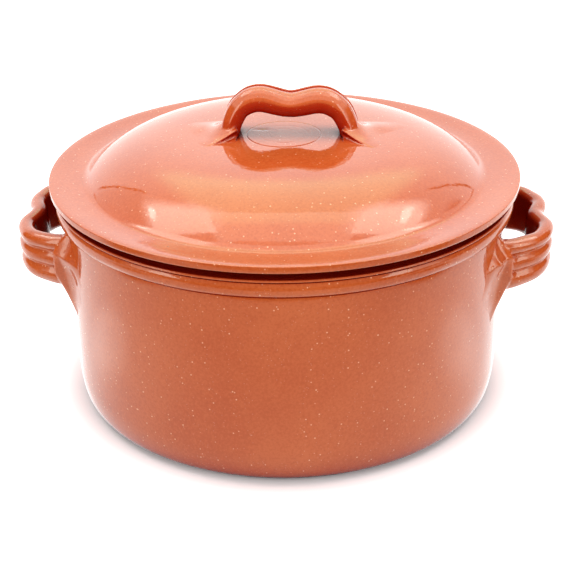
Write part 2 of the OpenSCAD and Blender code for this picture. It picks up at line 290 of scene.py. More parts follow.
def lid_outline():
    """Section of the lid from the foot of its ring, out round the flange, over the dome and underneath."""
    s, p = lid_sizes(), pot_sizes()
    seat_z = POT_HIGH[2]
    lid_r = LID_HIGH[1]
    ring_r = neck_r() - p.wall_t - s.ring_gap
    ring_low = seat_z - s.ring_h
    ring_edge = 1 * MM
    ring_corner = 0.3 * MM
    low_edge = s.edge_round
    top_edge = 0.3 * low_edge
    top_from = low_edge * 1.4

    # Ring, underside of the flange and its edge
    points = arc(ring_r - s.ring_t + ring_edge, ring_low + ring_edge, ring_edge, ring_edge, 180, 270, 5)
    points += arc(ring_r - ring_edge, ring_low + ring_edge, ring_edge, ring_edge, -90, 0, 5)
    points += straight((ring_r, ring_low + ring_edge), (ring_r, seat_z), 4)
    points += [(ring_r, seat_z - ring_corner), (ring_r + ring_corner, seat_z)]
    points += straight((ring_r, seat_z), (lid_r - low_edge, seat_z), 6)
    points += arc(lid_r - low_edge, seat_z + low_edge, low_edge, low_edge, -90, 0, 8)
    flange_top = seat_z + s.flange_t
    points += arc(lid_r - top_edge, flange_top - top_edge, top_edge, top_edge, 0, 82, 8)

    # Top of the flange, dipping towards the dome
    rows = 14
    inner = dome_r() + s.foot_round / 2
    for i in range(rows + 1):
        share = i / rows
        r = lid_r - top_from + (inner - lid_r + top_from) * share
        points.append((r, flange_top - s.flange_dish * math.sin(math.pi / 2 * share) ** 1.3))

    # Hollow curve up to the dome
    start = points[-1]
    end_r = dome_r() - s.foot_round / 2
    end = (end_r, dome_at(end_r))
    middle = (dome_r() + 0.3 * MM, dome_foot() - 0.1 * MM)
    for i in range(1, 10):
        t = i / 10
        points.append(tuple((1 - t) ** 2 * start[k] + 2 * t * (1 - t) * middle[k] + t * t * end[k]
                            for k in (0, 1)))

    # Dome, with closer rows at the throwing marks. Each mark is a radius, a depth and a width
    marks = (
        (s.mark_r, s.mark_t, 0.8 * MM),
        (0.66 * s.mark_r, 0.25 * s.mark_t, 1 * MM),
        (0.4 * s.mark_r, 0.2 * s.mark_t, 1 * MM),
    )
    steps = 64
    radii = [end_r * math.sin(math.pi / 2 * (1 - i / steps)) for i in range(steps)]
    radii = [r for r in radii if all(abs(r - mark) > 2.2 * MM for mark, depth, wide in marks)]
    radii += [mark + 0.2 * MM * i for mark, depth, wide in marks for i in range(-11, 12)]
    for r in sorted(radii, reverse=True) + [0.0]:
        cut = sum(depth * math.exp(-((r - mark) / (0.5 * wide)) ** 2) for mark, depth, wide in marks)
        points.append((r, dome_at(r) - cut))

    # Hollow underneath
    hollow_r = min(dome_r() - s.dome_t, ring_r - s.ring_t)
    for i in range(41):
        r = hollow_r * math.sin(math.pi / 2 * i / 40)
        points.append((r, dome_at(r) - s.dome_t * math.hypot(1, dome_slope(r))))
    points.append((ring_r - s.ring_t, ring_low + ring_edge))
    return points


def turned(outline):
    """A body of revolution about Z from its section, with its poles closed."""
    bm = bmesh.new()
    verts = [bm.verts.new((max(0.0, x), 0, z)) for x, z in outline]
    for a, b in zip(verts, verts[1:]):
        bm.edges.new((a, b))
    bmesh.ops.remove_doubles(bm, verts=bm.verts[:], dist=1e-6)
    bmesh.ops.spin(bm, geom=bm.verts[:] + bm.edges[:], cent=(0, 0, 0), axis=(0, 0, 1), angle=math.tau,
                   steps=pot_sizes().turns, use_merge=True)
    bmesh.ops.remove_doubles(bm, verts=bm.verts[:], dist=2e-6)
    bmesh.ops.recalc_face_normals(bm, faces=bm.faces[:])
    return bm


# Straps

# The most of half a strap's width that the round under its edge takes
UNDER_ROUND = 0.42


def knots(size, reach, sink):
    """Knots of a strap's middle line in its own plane: the dip, a hump and the leg on one side."""
    half, rest = size.humps / 2, size.span - size.humps
    return [Vector(k) for k in (
        (-half, reach),
        (0, reach - size.dip),
        (half, reach),
        (half + rest * 0.29, reach * 0.80),
        (half + rest * 0.435, reach * 0.43),
        (size.span / 2, reach * 0.06),
        (size.span / 2 + sink * 0.3, -sink),
        (size.span / 2 + sink * 0.6, -2 * sink),
    )]


def between(a, b, c, d, s):
    """Point of the smooth curve through four knots, at a share of the way from the second to the third."""
    return 0.5 * (2 * b + (c - a) * s + (2 * a - 5 * b + 4 * c - d) * s * s
                  + (3 * b - a - 3 * c + d) * s ** 3)


def middle_line(size, reach, sink, steps=10):
    """Points of the whole middle line, from leg to leg."""
    k = knots(size, reach, sink)
    half = [between(k[i - 1], k[i], k[i + 1], k[i + 2], j / steps)
            for i in range(1, len(k) - 2) for j in range(steps)]
    return [Vector((-p.x, p.y)) for p in reversed(half[1:])] + half


def strap_section(width, thick, groove, edge, crease, shift=0.0, slope=1.0, waist=0.0):
    """Section with three ribs, from the middle of the outer side round. Edge and crease are the shares of
    half the width that the outer ribs and the middle one take. Shift moves the grooves, not the edges. A
    slope above 1 makes a ridge along each edge, and waist is the height of the widest place."""
    half, top = width / 2, thick / 2
    under = min(edge, UNDER_ROUND)
    points = []
    # Middle rib, down to the bottom of its groove
    for i in range(7):
        a = math.pi / 2 * (1 - i / 6)
        points.append((half * crease * math.cos(a), top - groove * (1 - math.sin(a))))
    # Inner flank of the outer rib
    for i in range(1, 7):
        s = 1 - i / 6
        points.append((half * (1 - edge - (1 - edge - crease) * s), top - groove * s * s))
    # Outer rib, out to the edge
    for i in range(1, 11):
        a = math.pi / 2 * (1 - i / 10)
        out = edge * math.cos(a) ** slope
        points.append((half * (1 - edge + out), waist + (top - waist) * math.sin(a) ** slope))
    # Round under the edge, and the flat underside
    for i in range(1, 9):
        a = math.pi / 2 * i / 8
        out = under * math.cos(a) ** slope
        points.append((half * (1 - under + out), waist - (top + waist) * math.sin(a) ** slope))
    for i in range(1, 6):
        points.append((half * (1 - under) * (1 - i / 5), -top))
    mirrored = [(-x, z) for x, z in reversed(points[1:-1])]
    return [(x + shift * (1 - (2 * x / width) ** 2), z) for x, z in points + mirrored]


def add_strap(bm, line, section, flare, thin, swell, place):
    """A strap lofted along its middle line by bridging its rings. It grows wider by flare and thinner by thin
    towards its ends, and thicker by swell at its humps. Place turns local points into the row frame."""
    count = len(line)
    rings = []
    for i, point in enumerate(line):
        step = line[min(count - 1, i + 1)] - line[max(0, i - 1)]
        step.normalize()
        out = Vector((-step.y, step.x))
        end = abs(2 * i / (count - 1) - 1)
        wide = 1 + (flare - 1) * end ** 3
        thick = 1 - (1 - thin) * end * end + (swell - 1) * math.sin(math.pi * min(1, 2.4 * end))
        verts = []
        for x, z in section:
            q = point + out * z * thick
            verts.append(bm.verts.new(place(Vector((q.x, x * wide, q.y)))))
        rings.append([bm.edges.new((verts[j], verts[(j + 1) % len(verts)])) for j in range(len(verts))])
    for a, b in zip(rings, rings[1:]):
        bmesh.ops.bridge_loops(bm, edges=a + b)
    bmesh.ops.holes_fill(bm, edges=rings[0] + rings[-1], sides=0)


def add_smear(bm, rows, columns, place):
    """A closed patch of smeared clay: a grid is thickened, then place moves each point by its two shares."""
    made = bmesh.ops.create_grid(bm, x_segments=rows, y_segments=columns, size=0.5)["verts"]
    faces = list({f for v in made for f in v.link_faces})
    inner = bmesh.ops.extrude_face_region(bm, geom=faces)["geom"]
    inner = [v for v in inner if isinstance(v, bmesh.types.BMVert)]
    bmesh.ops.translate(bm, verts=inner, vec=(0, 0, -1))
    for v in {v for v in made if v.is_valid} | set(inner):
        v.co = place(v.co.x + 0.5, v.co.y + 0.5, v.co.z < -0.5)


def ease(share):
    """Smooth step from 0 to 1."""
    share = max(0.0, min(1.0, share))
    return share * share * (3 - 2 * share)


def luted(name, bm, voxel, rounds):
    """Straps and smears made one skin by a voxel remesh and smoothed, as fired clay is."""
    bmesh.ops.recalc_face_normals(bm, faces=bm.faces[:])
    mesh = bpy.data.meshes.new(name)
    bm.to_mesh(mesh)
    bm.free()
    piece = bpy.data.objects.new(name, mesh)
    bpy.context.scene.collection.objects.link(piece)
    remesh = piece.modifiers.new("Luting", "REMESH")
    remesh.mode = "VOXEL"
    remesh.voxel_size = voxel
    smooth = piece.modifiers.new("Wet sponge", "SMOOTH")
    smooth.factor = 0.5
    smooth.iterations = rounds
    result = bpy.data.meshes.new_from_object(piece.evaluated_get(bpy.context.evaluated_depsgraph_get()))
    piece.modifiers.clear()
    piece.data = result
    result.name = name
    bpy.data.meshes.remove(mesh)
    return piece


def hand_made(mesh, amount, grain):
    """Moves the skin along its normals, as fingers leave it. It moves mostly inward, so that it stays within
    the solids' box."""
    inward = 0.6
    normals = [v.normal.copy() for v in mesh.vertices]
    for v, n in zip(mesh.vertices, normals):
        v.co += n * amount * (noise.noise(v.co / grain) - inward)


def finish_piece(piece, node, finish):
    """Smooth shading, material and what the piece stands for."""
    piece.data.shade_smooth()
    piece.data.set_sharp_from_angle(angle=math.radians(50))
    piece.data.materials.clear()
    piece.data.materials.append(finish)
    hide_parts(node)
    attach(piece, "root")


# Glaze

def add_node(tree, kind, sockets=None, stops=(), **settings):
    """Adds a node with its settings. Each socket, by name or number, is linked to another socket or gets a
    value. Stops are the places on a colour ramp with their greys or colours."""
    node = tree.nodes.new(kind)
    for key, value in settings.items():
        setattr(node, key, value)
    for key, source in (sockets or {}).items():
        if isinstance(source, bpy.types.NodeSocket):
            tree.links.new(source, node.inputs[key])
        else:
            node.inputs[key].default_value = source
    if stops:
        elements = node.color_ramp.elements
        while len(elements) > len(stops):
            elements.remove(elements[-1])
        while len(elements) < len(stops):
            elements.new(1.0)
        for element, (place, value) in zip(elements, stops):
            element.position = place
            element.color = value if hasattr(value, "__len__") else (value, value, value, 1)
    return node


# Glazed red earthenware, thrown, dipped in clear glaze and fired. It gives the eye sharp, bright reflections
# over a warm red body that is a little cloudy, pale grains of temper and a few dark iron spots, and fine
# rings where it was turned. A deeper red is painted in folds and gaps as shade, and the reflections are
# dimmed there.
# The patterns have their real sizes, but the grains are finer than can show, so they are drawn as coarse as
# the photo shows them
CLOUD_SIZE = 70 * MM
MOTTLE_SIZE = 1.4 * MM
SPOTS_APART = 13 * MM
SKIN_SIZE = 8 * MM
SKIN_DEPTH = 0.08 * MM
RINGS_APART = 4 * MM
RINGS_DEPTH = 0.018 * MM
CREASE_REACH = 5 * MM
GLAZE_IOR = 1.52
GLAZE_TINT = (0.9, 1.0, 0.86, 1)
# Distance between grains, share of them left out, their radius as a share of the distance, and their strength
GRAINS = ((3 * MM, 0.6, 0.17, 0.9), (1.2 * MM, 0.75, 0.28, 0.3))


def dots(tree, place, apart, left_out, edge, fade, strength):
    """Small dots in the clay, with a share of them left out. Each is as strong as strength up to its edge and
    gone at fade, both as shares of the distance between dots."""
    cells = add_node(tree, "ShaderNodeTexVoronoi", {"Vector": place, "Scale": 1 / apart}).outputs
    chosen = add_node(tree, "ShaderNodeMath", {0: cells["Color"], 1: left_out}, operation="GREATER_THAN")
    dot = add_node(tree, "ShaderNodeValToRGB", {0: cells["Distance"]}, [(edge, strength), (fade, 0.0)])
    return add_node(tree, "ShaderNodeMath", {0: dot.outputs[0], 1: chosen.outputs[0]},
                    operation="MULTIPLY").outputs[0]


def tinted(tree, body, over, share, stops=()):
    """The body with another colour over it. The share may run through the stops of a ramp first."""
    if stops:
        share = add_node(tree, "ShaderNodeValToRGB", {0: share}, stops).outputs[0]
    return add_node(tree, "ShaderNodeMix", {0: share, 6: body, 7: over}, data_type="RGBA").outputs[2]


def glazed_terracotta(name, turned_body, reach=30 * MM, veil=0.25, full=0.36):
    """Red earthenware under a clear glossy glaze. A turned body has fine rings from the wheel. Painted shade
    darkens the clay to deep reds where other clay lies within reach, most where less of the sky than full is
    open.
    There the glaze's reflection is dimmed too, to nothing where less of the sky than veil is open."""
    look = bpy.context.scene.cazuela_finish
    deep, light = tuple(look.clay_deep), tuple(look.clay_light)
    material = bpy.data.materials.new(name)
    material.use_nodes = True
    tree = material.node_tree
    tree.nodes.clear()
    place = add_node(tree, "ShaderNodeTexCoord").outputs["Object"]

    # Clay: clouds from the kiln, a fine mottle, pale grains and dark spots
    cloud = add_node(tree, "ShaderNodeTexNoise",
                     {"Vector": place, "Scale": 1 / CLOUD_SIZE, "Detail": 3.0, "Roughness": 0.55}).outputs[0]
    body = tinted(tree, deep, light, cloud, [(0.35, 0.0), (0.68, 1.0)])
    body = tinted(tree, body, tuple(look.clay), 0.45)
    fine = add_node(tree, "ShaderNodeTexNoise",
                    {"Vector": place, "Scale": 1 / MOTTLE_SIZE, "Detail": 2.0, "Roughness": 0.6}).outputs[0]
    body = tinted(tree, body, light, fine, [(0.48, 0.0), (0.72, 0.5)])
    body = tinted(tree, body, deep, fine, [(0.3, 0.5), (0.5, 0.0)])
    for apart, left_out, size, strength in GRAINS:
        specks = dots(tree, place, apart, left_out, 0.4 * size, size, strength)
        body = tinted(tree, body, tuple(look.speck), specks)
    pits = dots(tree, place, SPOTS_APART, 0.93, 0.02, 0.06, 0.8)
    body = tinted(tree, body, tuple(look.pit), pits)

    # Skin of the glaze, and the rings of the wheel: noise over the radius and the height only
    skin = add_node(tree, "ShaderNodeTexNoise",
                    {"Vector": place, "Scale": 1 / SKIN_SIZE, "Detail": 3.0, "Roughness": 0.62}).outputs[0]
    normal = add_node(tree, "ShaderNodeBump", {"Height": skin, "Distance": SKIN_DEPTH}).outputs[0]
    if turned_body:
        parts = add_node(tree, "ShaderNodeSeparateXYZ", {0: place}).outputs
        flat = add_node(tree, "ShaderNodeCombineXYZ", {0: parts[0], 1: parts[1]}).outputs[0]
        radius = add_node(tree, "ShaderNodeVectorMath", {0: flat}, operation="LENGTH").outputs["Value"]
        section = add_node(tree, "ShaderNodeCombineXYZ", {0: radius, 2: parts[2]}).outputs[0]
        rings = add_node(tree, "ShaderNodeTexNoise",
                         {"Vector": section, "Scale": 1 / RINGS_APART, "Detail": 2.0}).outputs[0]
        normal = add_node(tree, "ShaderNodeBump",
                          {"Height": rings, "Distance": RINGS_DEPTH, "Normal": normal}).outputs[0]

    # Painted shade: deep reds where other clay hides the sky, in gaps and more so in creases
    gap = add_node(tree, "ShaderNodeAmbientOcclusion", {"Distance": reach}, samples=6).outputs["AO"]
    crease = add_node(tree, "ShaderNodeAmbientOcclusion", {"Distance": CREASE_REACH}, samples=4).outputs["AO"]
    crease = add_node(tree, "ShaderNodeValToRGB", {0: crease}, [(0.2, 0.5), (0.68, 1.0)]).outputs[0]
    open_air = add_node(tree, "ShaderNodeMath", {0: gap, 1: crease}, operation="MULTIPLY").outputs[0]
    shade_colour = add_node(tree, "ShaderNodeValToRGB", {0: open_air},
                      [(0.18, tuple(look.deep_shade_red)), (0.46, tuple(look.pool))]).outputs[0]
    body = tinted(tree, shade_colour, body, open_air, [(full, 0.0), (full + 0.34, 1.0)])
    # Painted shade in the reflections too: the glaze mirrors less, then nothing, as the sky closes in
    shine = add_node(tree, "ShaderNodeMapRange",
                     {"Value": open_air, "From Min": veil, "From Max": veil + 0.4, "To Max": 0.5}).outputs[0]
    shader = add_node(tree, "ShaderNodeBsdfPrincipled",
                      {"Base Color": body, "Normal": normal, "Specular IOR Level": shine,
                       "Roughness": look.gloss, "IOR": GLAZE_IOR, "Specular Tint": GLAZE_TINT})
    add_node(tree, "ShaderNodeOutputMaterial", {"Surface": shader.outputs["BSDF"]})
    return material


# Pieces

def turned_piece(name, bm, node, finish):
    """A turned body made an object that stands for its node."""
    mesh = bpy.data.meshes.new(name)
    bm.to_mesh(mesh)
    bm.free()
    piece = bpy.data.objects.new(name, mesh)
    bpy.context.scene.collection.objects.link(piece)
    finish_piece(piece, node, finish)


class CAZUELA_OT_pot(bpy.types.Operator):
    """Turns the pot's body from its section"""
    bl_idname = "cazuela.pot"
    bl_label = "Pot"

    def execute(self, context):
        finish = glazed_terracotta("glazed_terracotta_pot", turned_body=True)
        turned_piece("pot_body", turned(pot_outline()), "pot", finish)
        return {"FINISHED"}


class CAZUELA_OT_lid(bpy.types.Operator):
    """Turns the lid's body from its section"""
    bl_idname = "cazuela.lid"
    bl_label = "Lid"

    def execute(self, context):
        bm = turned(lid_outline())
        # A small dent on top of the crown: its place, its half widths and its depth
        crown_r = 40 * MM
        dent_x, dent_y, dent_w, dent_l, dent_depth = -12.5 * MM, 7 * MM, 4 * MM, 1.6 * MM, 0.35 * MM
        for v in bm.verts:
            if v.co.z > dome_at(crown_r):
                away = ((v.co.x - dent_x) / dent_w) ** 2 + ((v.co.y - dent_y) / dent_l) ** 2
                v.co.z -= dent_depth * math.exp(-away)
        finish = glazed_terracotta("glazed_terracotta_lid", turned_body=True, reach=20 * MM, veil=0.1)
        turned_piece("lid_body", bm, "lid", finish)
        return {"FINISHED"}


# How deep a smear's edge lies under the surface, and how far its closed back lies under it
SUNK = 0.2 * MM
BACKING = 2.5 * MM
# How far a strap's ends run into the clay, as a share of the wall's or the dome's thickness
SINK = 0.35


def side_smear_place(size, middle, side, scallop):
    """Puts a point of the clay smeared from a strap's end on the wall. A thick flank falls from the strap's
    top to a tip beside it, and below the flank's ridge the clay thins out downward."""
    wall = pot_sizes().wall_r
    half = size.width / 2 * size.flare
    # Heights: just above the strap, where its lower smear begins to thin out, where that ends, the flank's
    # tip and its ridge at the strap
    top = middle + half + 1.5 * MM
    base = middle - half + 6.5 * MM
    low = base - size.tail
    tip = middle + 2 * MM
    crest = middle + 7 * MM
    # Angles round the pot: where the smear starts inside the strap, the strap's outer side, the smear's end
    start = math.asin((size.span / 2 - size.thick * 0.6) / wall)
    strap = math.asin((size.span / 2 + 1.5 * MM) / wall)
    end = strap + 23 * MM / wall
    # How far the flank, the clay below it and the thick part of that reach along the wall
    flank_w, skirt_w, foot_w = 17 * MM, 22 * MM, 4.5 * MM
    # Height over which the flank becomes the clay below it, and how far above the base that starts to thin
    ridge_h, foot_h = 11 * MM, 5 * MM

    def lift(s, z):
        """Height of the clay above the wall."""
        angle = start + (end - start) * s
        away = max(0.0, (angle - strap) * wall)
        out = min(1.0, away / flank_w)
        edge = top + (tip - top) * out ** 0.9
        ridge = crest + (tip - crest) * out + scallop * abs(math.sin(2.6 * math.pi * out)) * (1 - out)
        under = ease((ridge - z) / ridge_h)
        root = ease((angle - start) / (strap - start)) ** 0.7
        face = (1 - out) ** 1.25
        skirt = 0.5 * (1 - min(1.0, away / skirt_w)) ** 1.3 + 0.5 * math.exp(-(away / foot_w) ** 2)
        height = size.smear * root * (face + (skirt - face) * under)
        if z > ridge:
            return height * max(-0.2, min(1.0, (edge - z) / max(1.5 * MM, edge - ridge)))
        foot = base + foot_h + (ridge - base - foot_h) * ease(5 * out)
        end_z = low + 0.35 * (ridge - low) * out
        drop = max(0.0, (foot - z) / (foot - end_z))
        return height * max(0.0, 1 - drop) ** 1.35

    def place(u, v, inner):
        angle = start + (end - start) * u
        z = low - 2 * MM + (top + 3 * MM - low) * v
        r = wall_at(z) - SUNK - (BACKING if inner else -lift(u, z))
        return Vector((r * math.cos(angle), side * r * math.sin(angle), z))

    return place


class CAZUELA_OT_side_handles(bpy.types.Operator):
    """Lofts the two side handles and lutes them to the wall"""
    bl_idname = "cazuela.side_handles"
    bl_label = "Side handles"

    def execute(self, context):
        finish = glazed_terracotta("glazed_terracotta_strap", turned_body=False)
        size = side_sizes()
        wall = pot_sizes().wall_r
        end_x = math.sqrt(wall * wall - size.span * size.span / 4)
        reach = size.reach + wall - end_x
        line = middle_line(size, reach, pot_sizes().wall_t * SINK)
        section = strap_section(size.width, size.thick, size.groove, edge=0.36, crease=0.3,
                                shift=size.rib_shift)
        for name, turn in (("right_handle", 0), ("left_handle", 1)):
            middle = POT_HIGH[2] - size.drop + size.uneven * (turn - 0.5)
            tip = size.tip * (1 - turn) / reach
            lean = -size.lean * turn / size.span
            scallop = (2.2 - 1.8 * turn) * MM
            bm = bmesh.new()
            add_strap(bm, line, section, size.flare, thin=1, swell=1,
                      place=lambda p: Vector((end_x + p.z, p.x, middle + p.y + tip * p.z + lean * p.x)))
            for side in (1, -1):
                centre = middle + lean * side * size.span / 2
                add_smear(bm, 80, 120, side_smear_place(size, centre, side, scallop))
            half_turn = Matrix.Rotation(math.pi * turn, 3, "Z")
            bmesh.ops.rotate(bm, verts=bm.verts[:], cent=(0, 0, 0), matrix=half_turn)
            piece = luted(name, bm, voxel=0.55 * MM, rounds=4)
            hand_made(piece.data, amount=0.35 * MM, grain=11 * MM)
            finish_piece(piece, "pot", finish)
        return {"FINISHED"}


# Lobes of clay drawn out from each leg of the lid's handle. In millimetres from the leg, outward and back:
# where a lobe starts, then its direction in degrees from straight out, its reach and height, and how wide its
# front and back slopes are. The first one ends in front in a sharp crease and leans over it
GRIP_LOBES = (
    ((-2.5, -9.5), -41, 24, 3.6, 0.6, 11),
    ((-2, 0), -14, 30, 0.9, 9, 9),
    ((0, 6), 16, 40, 1.7, 9, 10),
)


def grip_smear_place(size, side):
    """Puts a point of the clay smeared from a leg of the lid's handle on the dome."""
    leg = size.span / 2
    low_x, high_x = leg - 4 * MM, leg + 36 * MM
    low_y, high_y = -28 * MM, 26 * MM
    # In millimetres: radius of the core of clay round the leg, and how softly a lobe starts and leans over
    core, start_w, lean_w = 17, 2.5, 3
    lean = 0.85

    def lift(x, y):
        """Height of the clay above the dome, and how far it leans over the crease."""
        x, y = (x - leg) / MM, y / MM
        height = size.smear / MM * max(0.0, 1 - math.hypot(x, 0.8 * y) / core) ** 2
        over = Vector((0, 0))
        for (root_x, root_y), direction, reach, rise, front, back in GRIP_LOBES:
            turn = math.radians(direction)
            along = (x - root_x) * math.cos(turn) + (y - root_y) * math.sin(turn)
            across = (y - root_y) * math.cos(turn) - (x - root_x) * math.sin(turn)
            slope = across / (front if across < 0 else back)
            lobe = rise * max(0.0, min(1.0, 1 - along / reach)) ** 1.3 * math.exp(-slope * slope)
            lobe *= math.exp(-min(0.0, along / start_w) ** 2)
            if front < 1:
                ahead = Vector((math.sin(turn), -math.cos(turn)))
                over = ahead * lean * lobe * math.exp(-across * across / lean_w ** 2)
            height += lobe
        return height * MM, over * MM

    def place(u, v, inner):
        x = low_x + (high_x - low_x) * u
        y = low_y + (high_y - low_y) * v
        height, over = lift(x, y)
        if inner:
            height, over = -BACKING, Vector((0, 0))
        base_x, base_y = side * x + size.shift, y + size.back
        z = dome_at(math.hypot(base_x, base_y)) - SUNK + height
        return Vector((base_x + side * over.x, base_y + over.y, z))

    return place


class CAZUELA_OT_lid_handle(bpy.types.Operator):
    """Lofts the lid's handle and lutes it to the dome"""
    bl_idname = "cazuela.lid_handle"
    bl_label = "Lid handle"

    def execute(self, context):
        size = grip_sizes()
        crown = dome_at(0)
        line = middle_line(size, size.rise, lid_sizes().dome_t * SINK)
        line = [Vector((p.x, p.y - size.uneven * p.x / size.humps)) for p in line]
        section = strap_section(size.width, size.thick, size.groove, edge=0.46, crease=0.4, slope=1.6,
                                waist=1.2 * MM)
        bm = bmesh.new()
        add_strap(bm, line, section, size.flare, thin=0.8, swell=size.swell,
                  place=lambda p: Vector((size.shift + p.x, size.back - p.y, crown + p.z)))
        for side in (1, -1):
            add_smear(bm, 80, 100, grip_smear_place(size, side))
        piece = luted("lid_handle", bm, voxel=0.5 * MM, rounds=2)
        hand_made(piece.data, amount=0.25 * MM, grain=12 * MM)
        # Its painted shade reaches far, so the strap darkens to deep red towards the dome beneath it
        finish = glazed_terracotta("glazed_terracotta_grip", turned_body=False, reach=60 * MM, full=0.5)
        finish_piece(piece, "lid", finish)
        return {"FINISHED"}


# Stage

# Where the photograph was taken from, fitted to the outlines of the lid, the collar, the wall and the base
VIEW_AZIMUTH = math.radians(2.7)
VIEW_ELEVATION = math.radians(26.8)
VIEW_ROLL = math.radians(0.82)
VIEW_DISTANCE = 0.7591
VIEW_AIM = 0.054
LENS = 81.15
SENSOR = 36
SHIFT = 0.0033

# Place and aim of each soft lamp, its two sizes and the radiance of its face
SOFTBOXES = {
    "top_softbox": ((0, 0.1, 1.25), (0, 0, 0.1), 1.1, 1.0, 1.5),
    "left_softbox": ((-0.66, 0.06, 1.08), (0, 0, 0.1), 0.45, 0.5, 3.8),
    "right_softbox": ((0.66, 0.06, 1.08), (0, 0, 0.1), 0.45, 0.5, 3.8),
    "front_left_softbox": ((-0.85, -0.8, 0.5), (0, 0, 0.08), 0.6, 0.8, 3.2),
    "front_right_softbox": ((0.85, -0.8, 0.5), (0, 0, 0.08), 0.6, 0.8, 3.2),
}

# Height that the cards are turned to, then for each its angle round the pot from straight behind, its angle
# up, its distance, width, height, glow and soft border, all as the reflections in the photo show them
CARD_AIM = 0.14
CARDS = {
    "left_panel": (-78, 55, 0.95, 0.66, 0.62, 7.0, 0.7),
    "right_panel": (78, 55, 0.95, 0.7, 0.66, 7.5, 0.7),
    "front_flag": (180, 22, 0.6, 1.3, 0.66, 0.2, 0.1),
    "left_flag": (-67, 27, 0.86, 0.54, 0.47, 1.5, 0.3),
    "left_seam": (-50, 27, 0.84, 0.02, 0.44, 0.0, 0.3),
    "left_spark": (-75, 44, 0.8, 0.21, 0.05, 12.0, 0.6),
    "right_flag": (66, 26, 0.86, 0.56, 0.45, 2.0, 0.3),
    "right_seam": (47, 26, 0.84, 0.02, 0.42, 0.0, 0.3),
    "right_spark": (77, 48.5, 0.8, 0.28, 0.07, 12.0, 0.6),
    "left_side_flag": (-92, 6, 0.5, 0.5, 0.4, 0.0, 0.4),
    "right_side_flag": (86, 8, 0.5, 0.5, 0.45, 0.0, 0.4),
}
OVERHEAD_TINT = (0.8, 1.0, 0.78, 1)

# Floor: its size and how far it lies under the base, which keeps the two apart
FLOOR_HALF = 4
FLOOR_DROP = 0.2 * MM
# Painted light: the camera sees the paper a little pink, which shows only in the pot's shadow, as red light
# bounced from the pot
FLOOR_TINT = (1.0, 0.93, 0.925, 1)
# Share of its light that the floor sends back onto the pot
FLOOR_BOUNCE = 0.52
# Radii between which the floor's own white fades in round the pot, so that the contact shadow stays, and its
# least and most strength
FADE = (112 * MM, 148 * MM)
FADE_GLOW = (0.06, 0.75)
# The floor as the glaze mirrors it: its strength, and the places in front and behind between which it grows
# from dark to full
MIRRORED_GLOW = 2.0
MIRRORED_FROM, MIRRORED_TO = -0.4, 0.2
MIRRORED_STOPS = [(0.03, 0.0), (0.11, 0.36), (0.3, 0.46), (0.6, 0.86), (0.9, 1.0)]
# A dark and a bright spot in it: place, radius, value outside and inside, and how it is laid over the glow
MIRRORED_SPOTS = (
    ((0.376, -0.18, 0), 0.13, 1.0, 0.0, "MULTIPLY"),
    ((0.20, -0.05, 0), 0.06, 0.0, 0.6, "ADD"),
)
# World: white for the camera, and its strength in the glaze and on the clay
WORLD_MIRRORED = 2.0
WORLD_LIGHT = 0.45


def add_camera():
    """The camera where the photograph was taken from."""
    turn = Matrix.Rotation(VIEW_AZIMUTH, 3, "Z")
    forward = turn @ Vector((0, math.cos(VIEW_ELEVATION), -math.sin(VIEW_ELEVATION)))
    right = turn @ Vector((1, 0, 0))
    up = right.cross(forward)
    up_rolled = up * math.cos(VIEW_ROLL) + right * math.sin(VIEW_ROLL)
    right_rolled = forward.cross(up_rolled)
    data = bpy.data.cameras.new("camera")
    data.lens = LENS
    data.sensor_width = SENSOR
    data.shift_x = SHIFT
    camera = bpy.data.objects.new("camera", data)
    place = Vector((0, 0, VIEW_AIM)) - forward * VIEW_DISTANCE
    basis = Matrix((right_rolled, up_rolled, -forward)).transposed()
    camera.matrix_world = Matrix.Translation(place) @ basis.to_4x4()
    bpy.context.scene.collection.objects.link(camera)
    bpy.context.scene.camera = camera


def add_softbox(name, place, aim, size_x, size_y, radiance):
    """A soft lamp whose glowing face has a given radiance, so its reflection is as bright as that."""
    lamp = bpy.data.lights.new(name, "AREA")
    lamp.shape = "RECTANGLE"
    lamp.size, lamp.size_y = size_x, size_y
    lamp.energy = radiance * math.pi * size_x * size_y
    holder = bpy.data.objects.new(name, lamp)
    holder.location = place
    holder.rotation_euler = (Vector(aim) - Vector(place)).to_track_quat("-Z", "Y").to_euler()
    bpy.context.scene.collection.objects.link(holder)


